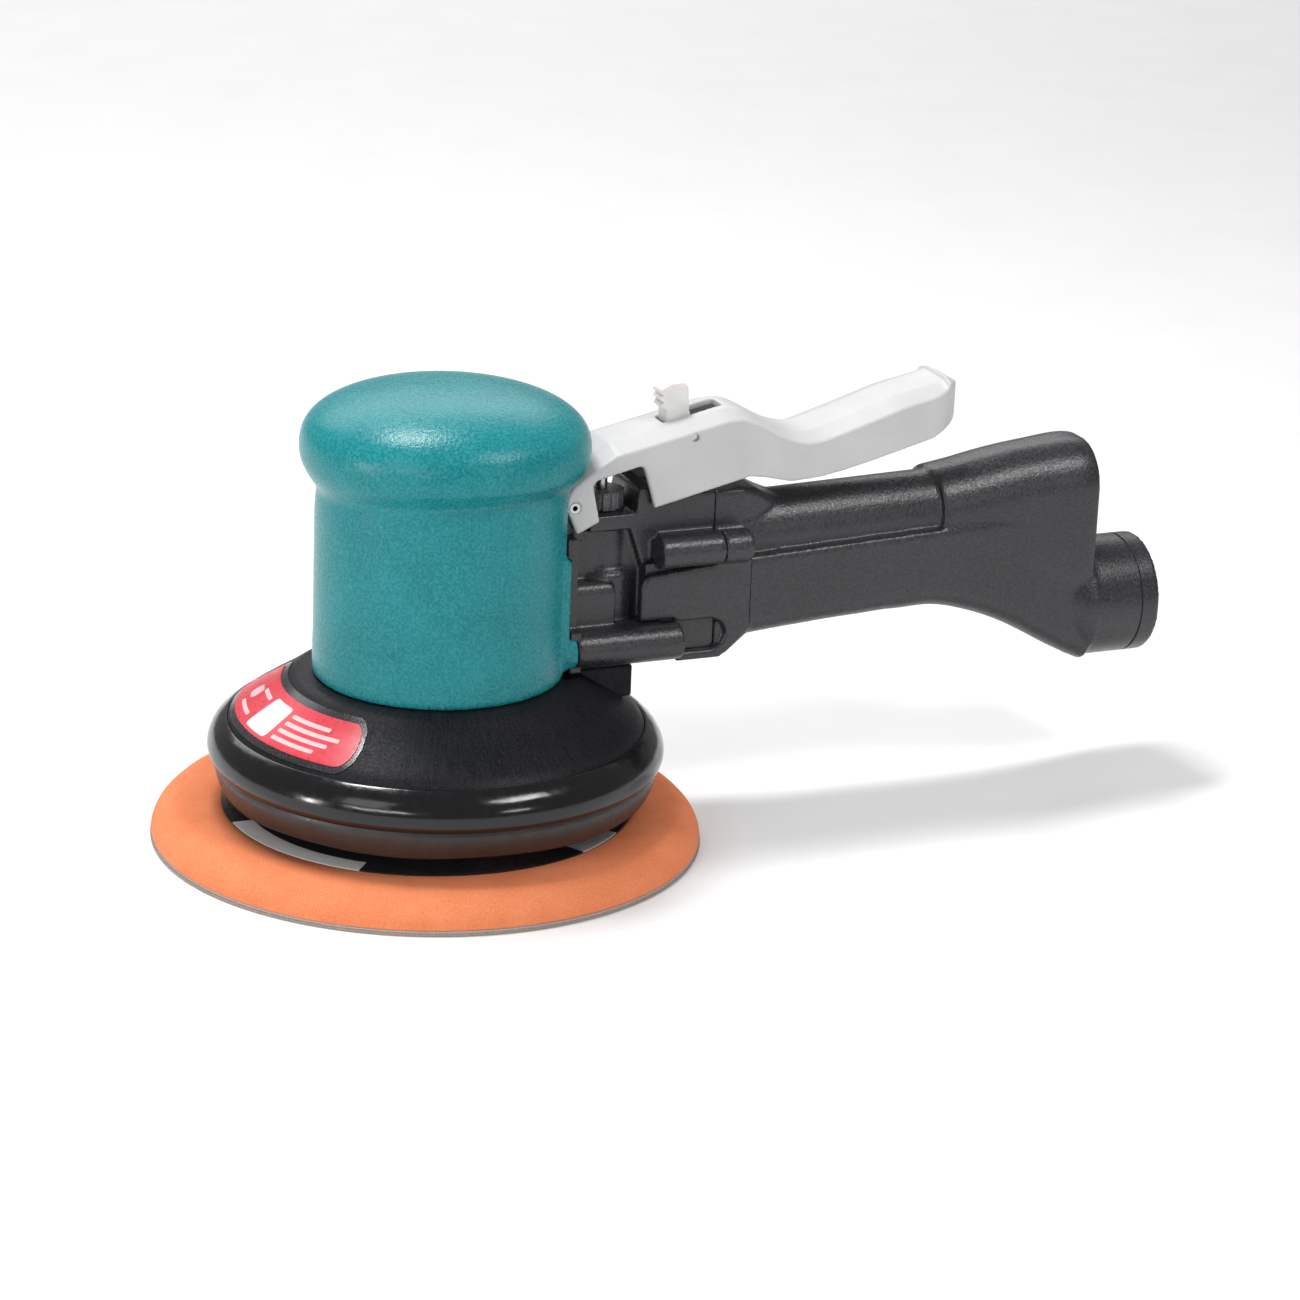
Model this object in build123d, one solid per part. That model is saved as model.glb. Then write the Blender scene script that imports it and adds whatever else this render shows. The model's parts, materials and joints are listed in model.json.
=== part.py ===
from build123d import *
import os
from math import atan2, cos, degrees, pi, radians, sin

# Two-handed random-orbital air sander with a 6 inch pad.
# Millimetres. Origin: motor axis where it meets the sanding face. +X along the handle, +Z up.

# ---- driving dimensions ----
orbit_offset = 2.38          # half of a 3/16 inch orbit
pad_radius = 76.2            # 6 inch disc
disc_top = 0.6
face_top = 1.2
foam_top = 9.4
hub_radius = 56.4
skirt_bottom = 14.4
ring_bottom = 22.6
ring_top = 30.6
shroud_top = 47.2
column_radius = 34.0
cap_radius = 39.7
cap_widest = 111.0
cap_height = 17.0
bore_radius = 30.9           # outside of the motor housing
housing_bore = 26.5
plate_low = 53.0             # motor stack: lock ring, front plate, cylinder, rear plate
cylinder_low = 61.0
cylinder_high = 95.0
stack_high = 103.0
housing_top = 110.0
rotor_radius = 18.3
cylinder_bore = 20.5
bore_offset = 2.0
shaft_radius = 5.0
flange_face = 31.0           # flat of the column where the valve body bolts on
boss_end = 33.4              # end of the two screw bosses beside that flat
valve_x = 47.0
split_x = 77.4               # joint between valve body and handle body
air_z = 82.0                 # axis of the air line in the handle
grip_half = 14.0
rear_x = 196.5
port_z = 50.0
port_radius = 17.3
port_end = 217.1
pivot_x, pivot_z = 34.2, 94.1
lock_x, lock_z = 69.4, 111.2
lower_screw = 15.5, 54.5      # y and z of the two long screws into the motor housing
upper_screw = 14.5, 80.0      # y and z of the two screws that hold the handle
inlet_z, outlet_z = 76.5, 66.0       # air into the motor and out of it
face_half = 18.0             # half width of the housing's flat
lever_half = 12.5
tip_x = 140.9                # centre of the lever's round end
body_bottom = 47.4           # underside of the valve body and of the handle's front
lever_wall = 1.8
label_start, label_end = 143, 224    # degrees about the motor axis, from +X
gap = 0.05                   # radial gap between round pieces that stay together
PAD = Pos(-orbit_offset, 0, 0)


# ---- small helpers ----
def post(radius, low, high, x=0, y=0):
    """A round bar along Z."""
    return Pos(x, y, (low + high) / 2) * Cylinder(radius, high - low)


def ring(outer, inner, low, high, x=0, y=0):
    return post(outer, low, high, x, y) - post(inner, low - 1, high + 1, x, y)


def rod(radius, start, end, y, z):
    """A round bar along X."""
    return Pos((start + end) / 2, y, z) * Rot(0, 90, 0) * Cylinder(radius, end - start)


def pin(radius, half, x, z):
    """A round bar along Y, centred on the middle plane."""
    return Pos(x, 0, z) * Rot(90, 0, 0) * Cylinder(radius, 2 * half)


def block(x0, x1, y0, y1, z0, z1):
    return Pos((x0 + x1) / 2, (y0 + y1) / 2, (z0 + z1) / 2) * Box(x1 - x0, y1 - y0, z1 - z0)


def turned(points):
    """A solid turned about Z from (radius, height) points."""
    return revolve(make_face(Polyline(*[(r, 0, z) for r, z in points], close=True)), Axis.Z)


def side_plate(points, half):
    """A side outline of (x, z) points, given a thickness both ways along Y."""
    face = make_face(Polyline(*[(x, 0, z) for x, z in points], close=True))
    return extrude(face, amount=half, dir=(0, 1, 0), both=True)


def around(piece, count, start=0):
    return [Rot(0, 0, start + 360 * i / count) * piece for i in range(count)]


def both_sides(piece):
    return [piece, mirror(piece, Plane.XZ)]


def balls(pitch, radius, count, z, place=Pos(0, 0, 0)):
    return Compound(children=[place * ball for ball in around(Pos(pitch, 0, z) * Sphere(radius), count)])


# ---- head: cover, housing and motor ----
def cap_line():
    """Half outline of the palm cap, from its crease up and over to the crown."""
    rise = 10.6
    points = [(column_radius, cap_widest - rise)]
    for part in (0.25, 0.5, 0.75):
        z = cap_widest - rise * (1 - part)
        points.append((column_radius + (cap_radius - column_radius) * (1 - (1 - part) ** 2), z))
    for angle in range(0, 90, 15):
        a = radians(angle)
        points.append((cap_radius * cos(a) ** 0.91, cap_widest + cap_height * sin(a) ** 0.77))
    points.append((0, cap_widest + cap_height))
    return points


def grip_cover():
    points = cap_line()
    crown = points[-1]
    edges = Spline(*[(r, 0, z) for r, z in points], tangents=[(0, 0, 1), (-1, 0, 0)])
    base = [(crown[0], crown[1]), (0, housing_top + 0.1), (bore_radius + gap, housing_top + 0.1),
            (bore_radius + gap, shroud_top + 0.1), (34.6, shroud_top + 0.1), (34.6, 57),
            (column_radius, 58.5), points[0]]
    rest = Polyline(*[(r, 0, z) for r, z in base])
    shell = revolve(make_face([edges, rest]), Axis.Z)
    pad = block(20, flange_face, -20, 20, 50, 82)
    pad -= post(bore_radius + gap, 40, 90)
    shell += pad
    shell -= block(flange_face, 60, -14.8, 14.8, 50, 107) + block(flange_face, 60, -20, 20, 47, 86.2)
    for side in (-1, 1):
        shell += rod(5.2, flange_face - 2, boss_end, lower_screw[0] * side, lower_screw[1])
    shell -= block(20, flange_face + 1, -18 - gap, 18 + gap, 51 - gap, 81 + gap)
    for side in (-1, 1):
        shell -= rod(2.3, 10, 40, lower_screw[0] * side, lower_screw[1])
    return shell


def motor_housing():
    shell = post(bore_radius, shroud_top + 1.6, housing_top) - post(housing_bore, 40, stack_high + 0.1)
    shell = fillet(shell.edges().sort_by(Axis.Z)[-1], 4)
    shell += block(18, flange_face, -18, 18, 51, 81) - post(bore_radius - 1, 40, 90)
    for side in (-1, 1):
        shell -= rod(2.05, 24, 40, lower_screw[0] * side, lower_screw[1])
    for screw in around(post(1.3, 40, 56, 28.7), 4, 45):
        shell -= screw
    shell -= rod(3, 20, 40, 0, inlet_z)             # air into the motor
    shell -= rod(4, 20, 40, 0, outlet_z)               # spent air out of the motor
    return shell


def motor_cylinder():
    sleeve = post(housing_bore - gap, cylinder_low, cylinder_high)
    sleeve -= post(cylinder_bore, 50, 110, bore_offset)
    sleeve -= rod(2.5, 15, 30, 0, inlet_z)
    sleeve -= rod(3.5, 15, 30, 0, outlet_z)
    sleeve -= post(1.25, 50, 110, -24.5)
    return sleeve


def end_plate(low, high, seat_low, seat_high, seat_radius, hole):
    plate = post(housing_bore - gap, low, high) - post(seat_radius + gap, seat_low, seat_high)
    plate -= post(hole, low - 1, high + 1)
    return plate - post(1.25, low - 1, high + 1, -24.5)


def lock_ring():
    nut = ring(housing_bore - gap, 16, plate_low - 4, plate_low)
    for hole in around(post(1.5, plate_low - 6, plate_low - 2, 21), 4):
        nut -= hole                              # pin-spanner holes
    return nut


def rotor():
    body = post(rotor_radius, cylinder_low + 0.2, cylinder_high - 0.2)
    body -= post(shaft_radius + gap, 50, 110)
    for slot in around(block(10.5, 20, -0.85, 0.85, 50, 110), 5):
        body -= slot
    return body


def rotor_vanes():
    vane = block(10.8, rotor_radius - 0.1, -0.75, 0.75, cylinder_low + 0.3, cylinder_high - 0.3)
    return Compound(children=around(vane, 5))


def rotor_shaft():
    shaft = post(shaft_radius, 33.2, 95.6) + post(4, 95.6, 102.6)
    return shaft - block(3.4, 6, -1.55, 1.55, 35, 43)


def shaft_balancer():
    """Eccentric carrier: hub on the motor shaft, bearing cup on the pad axis, weight opposite."""
    cup = PAD * (post(16.5, 18, 31.5) - post(13 + gap, 17, 28.2) - post(8.5, 28, 32.4))
    cup -= PAD * (post(14, 18.5, 19.9) - post(12, 17, 21))
    hub = post(11, 31.5, 46) + PAD * (post(16.5, 31.5, 34) - post(8.5, 31, 32.4))
    weight = (post(35, 32, 39) - block(-40, 9, -40, 40, 30, 45)) + post(14, 33, 39)
    body = cup + hub + weight
    body -= post(shaft_radius + gap, 33, 50)
    return body - block(3, 6.6, -1.6, 1.6, 35, 47)


# ---- shroud and skirt ----
def shroud():
    outer = [(58.5, ring_top), (56.8, 33), (53.8, 36), (49.7, 39.2), (45.6, 42), (41.2, 45), (38.2, 46.8),
             (37, shroud_top)]
    neck = bore_radius - gap
    inner = [(32, 43), (36.5, 41.6), (45, 38.5), (51, 34), (54, ring_top), (54, 23)]
    profile = outer + [(neck, shroud_top), (neck, 48.7), (20, 48.7), (20, 43)]
    cone = turned(profile + inner + [(56.4, 23), (56.4, ring_top)])
    riser = block(28, 53.2, -12, 12, 38, 47.3) - post(bore_radius, 30, 60) - post(34.8, shroud_top, 60)
    riser = riser & post(56, 30, 60)
    cone += riser - turned([(0, 20)] + [(0, 50), (0, 43)] + inner[:5] + [(54, 20)])
    cone -= block(37, 52, -9, 9, 36, 50) - post(36.5, 30, 60)
    for screw in around(post(1.65, 40, 50, 28.7), 4, 45):
        cone -= screw
    return cone


def skirt_ring():
    low, high = ring_bottom, ring_top
    line = Spline((61.4, 0, low), (63.1, 0, low + 3.2), (62, 0, high - 2), (58.9, 0, high))
    back = Polyline((58.9, 0, high), (56.5, 0, high), (56.5, 0, low), (61.4, 0, low))
    return revolve(make_face([line, back]), Axis.Z)


def skirt_band():
    top = ring_bottom - 0.1
    outside = [(61.3, top), (60.8, 19), (59.2, skirt_bottom)]
    return turned(outside + [(57.2, skirt_bottom), (58.2, 19), (58.2, top)])


def warning_label():
    """A thin plate wrapped on the cone, on the side away from the handle."""
    line = [(53.8, 36), (49.7, 39.2), (45.6, 42), (43.8, 43.2)]
    skin = turned([(r + 0.05, z + 0.05) for r, z in line] + [(r + 0.3, z + 0.3) for r, z in line[::-1]])
    return skin & (Rot(0, 0, label_start) * block(0, 90, 0, 90, 20, 50)) & (
        Rot(0, 0, label_end) * block(0, 90, -90, 0, 20, 50))


def shroud_screws():
    screw = post(1.25, 42.4, 55, 28.7) + post(2.6, 39.8, 42.6, 28.7)
    return Compound(children=around(screw, 4, 45))


# ---- pad assembly, on the pad axis ----
def pad_foam():
    recess = hub_radius + 0.2
    points = [(0, face_top), (75.6, face_top), (74.6, 4.5), (73, 6.6), (70, foam_top), (recess, foam_top),
              (recess, 6.4), (0, 6.4)]
    return PAD * turned(points)


def pad_hub():
    plate = post(hub_radius, 6.5, 8.9) + post(10, 8.9, 13.3) + post(3.9, 13.3, 22)
    for hole in around(post(2.05, 0, 12, 30), 6):
        plate -= hole
    return PAD * plate


def hub_rivets():
    rivet = post(2, 6.5, 9.3, 30) + post(3.2, 9.3, 10.3, 30)
    return Compound(children=[PAD * piece for piece in around(rivet, 6)])


def hub_label():
    sheet = ring(hub_radius, 10.2, 8.95, 9.25)
    for hole in around(post(2.05, 0, 12, 30), 6):
        sheet -= hole
    return PAD * sheet


def pad_spindle():
    flats = block(-20, 20, -7.5, 7.5, 13.4, 17)
    body = (post(9.5, 13.4, 17) & flats) + post(6.6, 17, 19) + post(shaft_radius, 19, 28)
    return PAD * (body - post(4, 13, 22.5) - post(1.65, 22, 30))


def spindle_screw():
    return PAD * (post(1.6, 24, 28.1) + post(6.6, 28.1, 28.9) + post(3, 28.9, 30.6))


def spindle_ring():
    """Internal circlip under the spindle bearing, with a gap at one side."""
    return PAD * (ring(13.9, 11.6, 18.6, 19.8) - block(5, 20, -4, 4, 15, 22))


# ---- valve body ----
def valve_body():
    body = block(31.2, 34.5, -15, 15, 48, 86) + block(31.2, 34.5, -19, 19, 48.6, 60.5)
    skirt = block(33, 47, -12.8, 12.8, 55, 72)
    body += fillet(skirt.edges().group_by(Axis.Z)[-1], 3)
    for side in (-1, 1):
        body -= rod(5.3, 31, boss_end + 0.1, lower_screw[0] * side, lower_screw[1])
    body += post(10.5, body_bottom, 73, valve_x) + post(8.3, 73, 88, valve_x)
    body += Pos(valve_x, 0, 74) * Cone(10.5, 8.3, 2)
    body += block(34, split_x, -12, 12, body_bottom, 60) + block(56, split_x, -12, 12, 58, 76)
    body += block(34, 56, -7.5, 7.5, 50, 86)
    top = [(40, 86), (40, 90), (53.7, 90.3), (54.2, 96.6), (55, 97.4), (58.5, 97.4), (62, 94.6),
           (split_x, 94.6), (split_x, 74), (56, 74), (52, 86)]
    body += side_plate(top, 9.7)
    lug = [(31.2, 84), (31.2, 94.1), (32.2, 96.4), (34.2, 97.1), (36.4, 96.4), (37.4, 94.1), (38.5, 84)]
    body += side_plate(lug, 10.2)
    for side in (-1, 1):
        boss = rod(4.6, 58.4, split_x, *upper_screw) + block(60, split_x, 9, upper_screw[0], 75.6, 84)
        boss += rod(5.2, boss_end + 0.1, 65, *lower_screw) + block(34, 60, 11, 15, 49.3, 59.7)
        body += boss if side > 0 else mirror(boss, Plane.XZ)
    body -= post(6, 60.5, 75, valve_x) + post(1.75, 70, 95, valve_x) + post(4.05, 86.4, 95, valve_x)
    body -= post(3, 64, air_z, 59.5) + rod(3, valve_x, 59.5, 0, 65.5)
    body -= rod(3.5, 59.5, 70, 0, air_z) + rod(6.4, 68, 80, 0, air_z) + rod(8.2, 71, 73, 0, air_z)
    body -= rod(2.5, 30, valve_x, 0, inlet_z) + block(38, split_x + 1, -8.6, 8.6, 49.8, 58.4)
    body -= block(38, 51, -8.6, 8.6, 46, 52)
    body -= pin(1.55, 12, pivot_x, pivot_z)
    for side in (-1, 1):
        body -= rod(2.05, 30, 61, lower_screw[0] * side, lower_screw[1])
        body -= rod(3.6, 60.5, 70, lower_screw[0] * side, lower_screw[1])
        body -= rod(1.55, 62, 80, upper_screw[0] * side, upper_screw[1])
    return body


def flange_gasket():
    sheet = block(flange_face, 31.2, -face_half - 0.5, face_half + 0.5, 50.5, 81.5)
    sheet -= rod(3, 30, 33, 0, inlet_z) + rod(4, 30, 33, 0, outlet_z)
    for side in (-1, 1):
        sheet -= rod(5.3, 30, 33, lower_screw[0] * side, lower_screw[1])
    return sheet


def screw_pair(radius, head_radius, tip, head_low, head_high, place):
    """Two screws along X, one each side, with round heads toward the handle."""
    head = fillet(rod(head_radius, head_low, head_high, *place).edges().sort_by(Axis.X)[-1], 1.3)
    screw = rod(radius, tip, head_low + 0.3, *place) + head
    return Compound(children=both_sides(screw))


def speed_regulator():
    knob = post(6.3, 90.5, 95.4, valve_x) + post(4.0, 86.6, 90.6, valve_x) - post(1.85, 80, 100, valve_x)
    for i in range(16):
        a = 2 * pi * i / 16
        knob -= post(0.55, 90, 96, valve_x + 6.4 * cos(a), 6.4 * sin(a))
    return knob


def valve_spring():
    turns = Helix(pitch=1.15, height=4.6, radius=4.2)
    wire = sweep((turns ^ 0) * Circle(0.35), path=turns)
    return Pos(valve_x, 0, 61.0) * wire


# ---- handle body ----
def oval(x, low, high, half, corner):
    """One upright section of the handle at x, with rounded corners."""
    return Plane((x, 0, (low + high) / 2), x_dir=(0, 1, 0), z_dir=(1, 0, 0)) * RectangleRounded(
        2 * half, high - low, corner)


def beam(x, low, high, half, corner):
    """A section of the handle's lower half: round below, with a crisp ledge on top."""
    face = Plane((x, 0, (low + high) / 2), x_dir=(0, 1, 0), z_dir=(1, 0, 0)) * Rectangle(2 * half,
                                                                                         high - low)
    face = fillet(face.vertices().group_by(Axis.Z)[0], corner)
    return fillet(face.vertices().group_by(Axis.Z)[-1], 1.5)


def handle_body():
    front = [(split_x, body_bottom, 75.6, 14, 2), (80.5, 47.9, 75.8, 14, 2), (87.3, 52, 76, 14, 5)]
    under = [(87.3, 52), (95, 52.6), (103, 53.2), (111, 53.8), (118, 54.2), (126, 54.6), (134, 54.9),
             (140, 55.1),
             (145, 55.1), (150, 54.4), (156, 52.8), (162, 50.8), (168, 48.3), (174, 45.3), (180, 41.9),
             (185, 39.1), (190, 36.5), (rear_x, 33.6)]
    back = [(x, low, 76 + (x - 87.3) * 0.045, 14, 6) for x, low in under]
    flare = [(147.5, 66.5, 93.2, 12.9, 11.5), (152, 65, 94, 13.2, 12), (160, 60, 95.3, 13.5, 12),
             (172, 56, 97.4, 14, 12.5), (184, 52, 98.7, 14.4, 12.5), (193.5, 50, 99.2, 14.8, 12.5),
             (rear_x, 50.6, 98.6, 14.2, 12)]
    body = loft([beam(*s) for s in front], ruled=True) + loft([beam(*s) for s in back])
    body += loft([oval(*s) for s in flare])
    tube_low, tube_high = 79.3, 81.6
    length = 152 - split_x
    tilt = degrees(atan2(tube_high - tube_low, length))
    body += Pos(split_x, 0, tube_low) * Rot(0, 90 - tilt, 0) * Cylinder(
        11, length, align=(Align.CENTER, Align.CENTER, Align.MIN))
    root = [(186, 12, 53.4), (191, 15, 51.4), (194, 16.6, 50.4), (rear_x + 0.5, port_radius + 0.25, port_z)]
    body += loft([Plane((x, 0, z), z_dir=(1, 0, 0)) * Circle(radius) for x, radius, z in root])
    hump = [(split_x, 74, 94.6, 9.7, 1), (86, 74, 94.8, 9.7, 1.5), (90.5, 74, 94, 9.2, 2),
            (94.5, 74, 92, 8, 3),
            (98.5, 74, 90.4, 6.4, 3), (103, 74, 89.4, 4, 3)]
    body += loft([oval(*s) for s in hump], ruled=True)
    body -= block(60, split_x, -20, 20, 60, 100)
    for side in (-1, 1):
        body += rod(4.6, split_x, 86, upper_screw[0] * side, upper_screw[1])
        cheek = [(54, 60), (54, 70), (55, 72.2), (57.2, 73.3), (77.1, 75.2), (79, 75.2), (79, body_bottom),
                 (65.3, body_bottom), (65.3, 60)]
        body += Pos(0, 13.2 * side, 0) * side_plate(cheek, 0.95)
    recess = [(62, 50), (76, 50), (79, 51.4), (80.3, 54.6), (79, 57.8), (76, 59.2), (62, 59.2)]
    for side in (-1, 1):
        body -= Pos(0, 14.6 * side, 0) * side_plate(recess, 2.3)
    body -= rod(6.4, 70, 190, 0, air_z) + rod(9.5, 176, 200, 0, air_z)
    duct = [(70, 49.8), (80.5, 50.6), (90, 57), (145, 58.1), (160, 56), (174, 49.2), (186, 42.2),
            (190, 40.6),
            (200, 40.6), (200, 57), (172, 66), (145, 73), (92, 72), (84, 62), (78, 58.4), (70, 58.4)]
    body -= side_plate(duct, 8.6)
    body -= rod(13.8, 190, 200, 0, port_z)
    for side in (-1, 1):
        body -= rod(1.9, 70, 90, upper_screw[0] * side, upper_screw[1])
        body -= rod(3.1, 83, 90, upper_screw[0] * side, upper_screw[1])
    return body


def hose_spigot():
    tube = rod(port_radius, rear_x + 0.6, port_end, 0, port_z) + rod(13.7, 190.5, rear_x + 1, 0, port_z)
    return tube - rod(12.6, 180, port_end - 4, 0, port_z) - rod(14.2, port_end - 5, port_end + 1, 0, port_z)


def inlet_bushing():
    body = rod(9.4, 176.5, rear_x + 1.5, 0, air_z) - rod(6.4, 170, 181.5, 0, air_z)
    body -= rod(4.6, 180, 184, 0, air_z) + rod(5.25, 183, 184.1, 0, air_z)
    return body - rod(5.7, 184, 200, 0, air_z)


def inlet_screen():
    disc = rod(5.2, 183.1, 183.7, 0, air_z)
    for y in (-3, -1, 1, 3):
        for z in (-3, -1, 1, 3):
            disc -= Pos(183.4, y, air_z + z) * Box(2, 1.3, 1.3)
    return disc


def air_tube():
    return rod(6.3, 68.3, 181, 0, air_z) - rod(4.9, 60, 190, 0, air_z)


def o_ring(x):
    return Pos(x, 0, air_z) * Rot(0, 90, 0) * Torus(7.25, 0.88)


# ---- lever and lock-off ----
def lever_face(y, drop, shift, low):
    """One side outline of the lever at y: the crown lowered by drop, closed by the low points."""
    straight = [(33.4, 101.5), (38, 105), (46.5, 110), (65.8, 114.3), (78, 117.1)]
    saddle = [(78, 117.1), (82.5, 117.5), (89.6, 114.8), (98.4, 110.3), (105, 109.1), (113, 110.8),
              (125, 114.5),
              (141.6, 119.1), (148, 121.1), (152.4, 119.6)]
    lift = -drop - shift
    line = Spline(*[(x, y, z + lift) for x, z in saddle], tangents=[(12, 0, 2.8), (6, 0, -3)])
    end = saddle[-1]
    rest = Polyline((end[0], y, end[1] + lift), *[(x, y, z) for x, z in low],
                    *[(x, y, z + lift) for x, z in straight])
    return make_face([line, rest])


def channel(low, flat, half, drop, shift=0):
    """A channel block: a flat crown, sloping shoulders that fall by drop, and upright sides."""
    middle = lever_face(-flat, 0, shift, low)
    body = extrude(middle, amount=2 * flat, dir=(0, 1, 0))
    for side in (-1, 1):
        edge = lever_face(half * side, drop, shift, low)
        body += loft([lever_face(flat * side, 0, shift, low), edge], ruled=True)
    return body


def throttle_lever():
    low = [(153.4, 117.4), (153.4, 112), (151, 109.2), (142.5, 105.3), (125, 100.6), (115, 98.2),
           (108, 96.9),
           (99.3, 96.3), (90.8, 98.2), (86.5, 98.8), (58, 92.1), (54.6, 103.3), (53.6, 104.4), (40.6, 101.3),
           (39.4, 100.2), (41.7, 89.5), (35, 86.4), (31.5, 94.6), (31.7, 97)]
    inside = [(152.4, 80), (28, 80), (28, 94)]
    plan = block(20, tip_x, -20, 20, 70, 140) + post(lever_half, 70, 140, tip_x)
    end_plan = block(20, tip_x, -20, 20, 70, 140) + post(lever_half - lever_wall, 70, 140, tip_x)
    body = channel(low, 6, lever_half, 2.2) & plan
    body -= channel(inside, 5.6, lever_half - lever_wall, 2.2, lever_wall * 1.1) & end_plan
    boss = [(valve_x - 2.5, 109), (valve_x - 2.5, 101.1), (valve_x + 2.5, 101.1), (valve_x + 2.5, 109.5)]
    body += side_plate(boss, 2.5) & post(2.5, 90, 120, valve_x)
    body += Pos(valve_x, 0, 101.1) * Sphere(2.5)
    body -= block(63.6, 81, -3.4, 3.4, 108, 130)
    body -= pin(1.55, 20, pivot_x, pivot_z) + pin(1.02, 20, lock_x, lock_z)
    return body


def lockoff_lever():
    outline = [(66.9, 104.6), (72.2, 104.6), (72.2, 113), (71.2, 116.6), (70.8, 123.2), (69.6, 124.6),
               (65.4, 124.4),
               (62.6, 122.8), (62.5, 121.7), (63.6, 121.2), (62.7, 120.6), (62.6, 119.8), (63.8, 119.2),
               (62.9, 118.5),
               (63, 117.6), (64.3, 117), (64.5, 113), (66.6, 110)]
    return side_plate(outline, 3) - pin(1.06, 10, lock_x, lock_z)


def lockoff_spring():
    """Torsion spring: four coils round the lock-off pin, drawn as closed turns."""
    turn = Pos(lock_x, 0, lock_z) * Rot(90, 0, 0) * Torus(1.4, 0.2)
    return Compound(children=[Pos(0, 4 + 0.75 * i, 0) * turn for i in range(4)])


nodes = {
    # column and motor
    "grip_cover": grip_cover(),
    "motor_housing": motor_housing(),
    "motor_cylinder": motor_cylinder(),
    "rear_end_plate": end_plate(cylinder_high, stack_high, cylinder_high + 1, stack_high + 1, 11, 6),
    "front_end_plate": end_plate(plate_low, cylinder_low, plate_low - 1, cylinder_low - 1, 13, 8),
    "lock_ring": lock_ring(),
    "cylinder_pin": post(1.2, plate_low + 1, stack_high - 1, -24.5),
    "upper_bearing_outer": ring(11, 9.1, cylinder_high + 1.05, stack_high - 0.2),
    "lower_bearing_outer": ring(13, 10.6, plate_low + 0.1, cylinder_low - 1.05),
    # rotor
    "rotor": rotor(),
    "rotor_vanes": rotor_vanes(),
    "rotor_shaft": rotor_shaft(),
    "upper_bearing_inner": ring(5.9, 4 + gap, cylinder_high + 1.05, stack_high - 0.4),
    "lower_bearing_inner": ring(7.4, shaft_radius + gap, plate_low + 0.1, cylinder_low - 1.05),
    "upper_bearing_balls": balls(7.5, 1.5, 8, 99.4),
    "lower_bearing_balls": balls(9.0, 1.5, 9, 56.5),
    "shaft_balancer": shaft_balancer(),
    "balancer_key": block(3.45, 6.5, -1.5, 1.5, 35.05, 42.9),
    "spindle_bearing_outer": PAD * ring(13, 10.6, 20.2, 28),
    "spindle_retaining_ring": spindle_ring(),
    "spindle_bearing_balls": balls(9.0, 1.5, 9, 24, PAD),
    # shroud
    "shroud": shroud(),
    "shroud_screws": shroud_screws(),
    "skirt_ring": skirt_ring(),
    "skirt_band": skirt_band(),
    "warning_label": warning_label(),
    # pad
    "pad_spindle": pad_spindle(),
    "spindle_bearing_inner": PAD * ring(7.4, shaft_radius + gap, 20.2, 28),
    "spindle_screw": spindle_screw(),
    "pad_hub": pad_hub(),
    "hub_rivets": hub_rivets(),
    "hub_label": hub_label(),
    "pad_foam": pad_foam(),
    "pad_face": PAD * post(75.8, disc_top, face_top),
    "abrasive_disc": PAD * post(pad_radius, 0, disc_top),
    # valve and handle
    "valve_body": valve_body(),
    "flange_gasket": flange_gasket(),
    "valve_seat": ring(5.95, 2.6, 70.6, 74.8, valve_x),
    "valve_spring": valve_spring(),
    "valve_stem": post(1.6, 69.0, 98.4, valve_x),
    "valve_head": post(4.8, 66.2, 69.0, valve_x) + ring(4.8, 3.4, 69.0, 70.4, valve_x),
    "speed_regulator": speed_regulator(),
    "handle_body": handle_body(),
    "upper_handle_screws": screw_pair(1.5, 3, 63, 83.1, 85.6, upper_screw),
    "lower_handle_screws": screw_pair(2, 3.5, 24.5, 60.7, 64.9, lower_screw),
    "air_tube": air_tube(),
    "tube_o_rings": o_ring(72),
    "inlet_bushing": inlet_bushing(),
    "inlet_screen": inlet_screen(),
    "hose_spigot": hose_spigot(),
    # throttle
    "lever_pivot_pin": pin(1.5, 12.3, pivot_x, pivot_z) - pin(0.75, 13, pivot_x, pivot_z),
    "throttle_lever": throttle_lever(),
    "lockoff_pin": pin(1.0, 11.3, lock_x, lock_z),
    "lockoff_spring": lockoff_spring(),
    "lockoff_lever": lockoff_lever(),
}

os.makedirs("parts", exist_ok=True)
for name, solid in nodes.items():
    export_step(solid, f"parts/{name}.step")
print(len(nodes), "nodes")
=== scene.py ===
import bpy
import json
from math import atan2, cos, pi, radians, sin
from mathutils import Matrix, Vector


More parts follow.
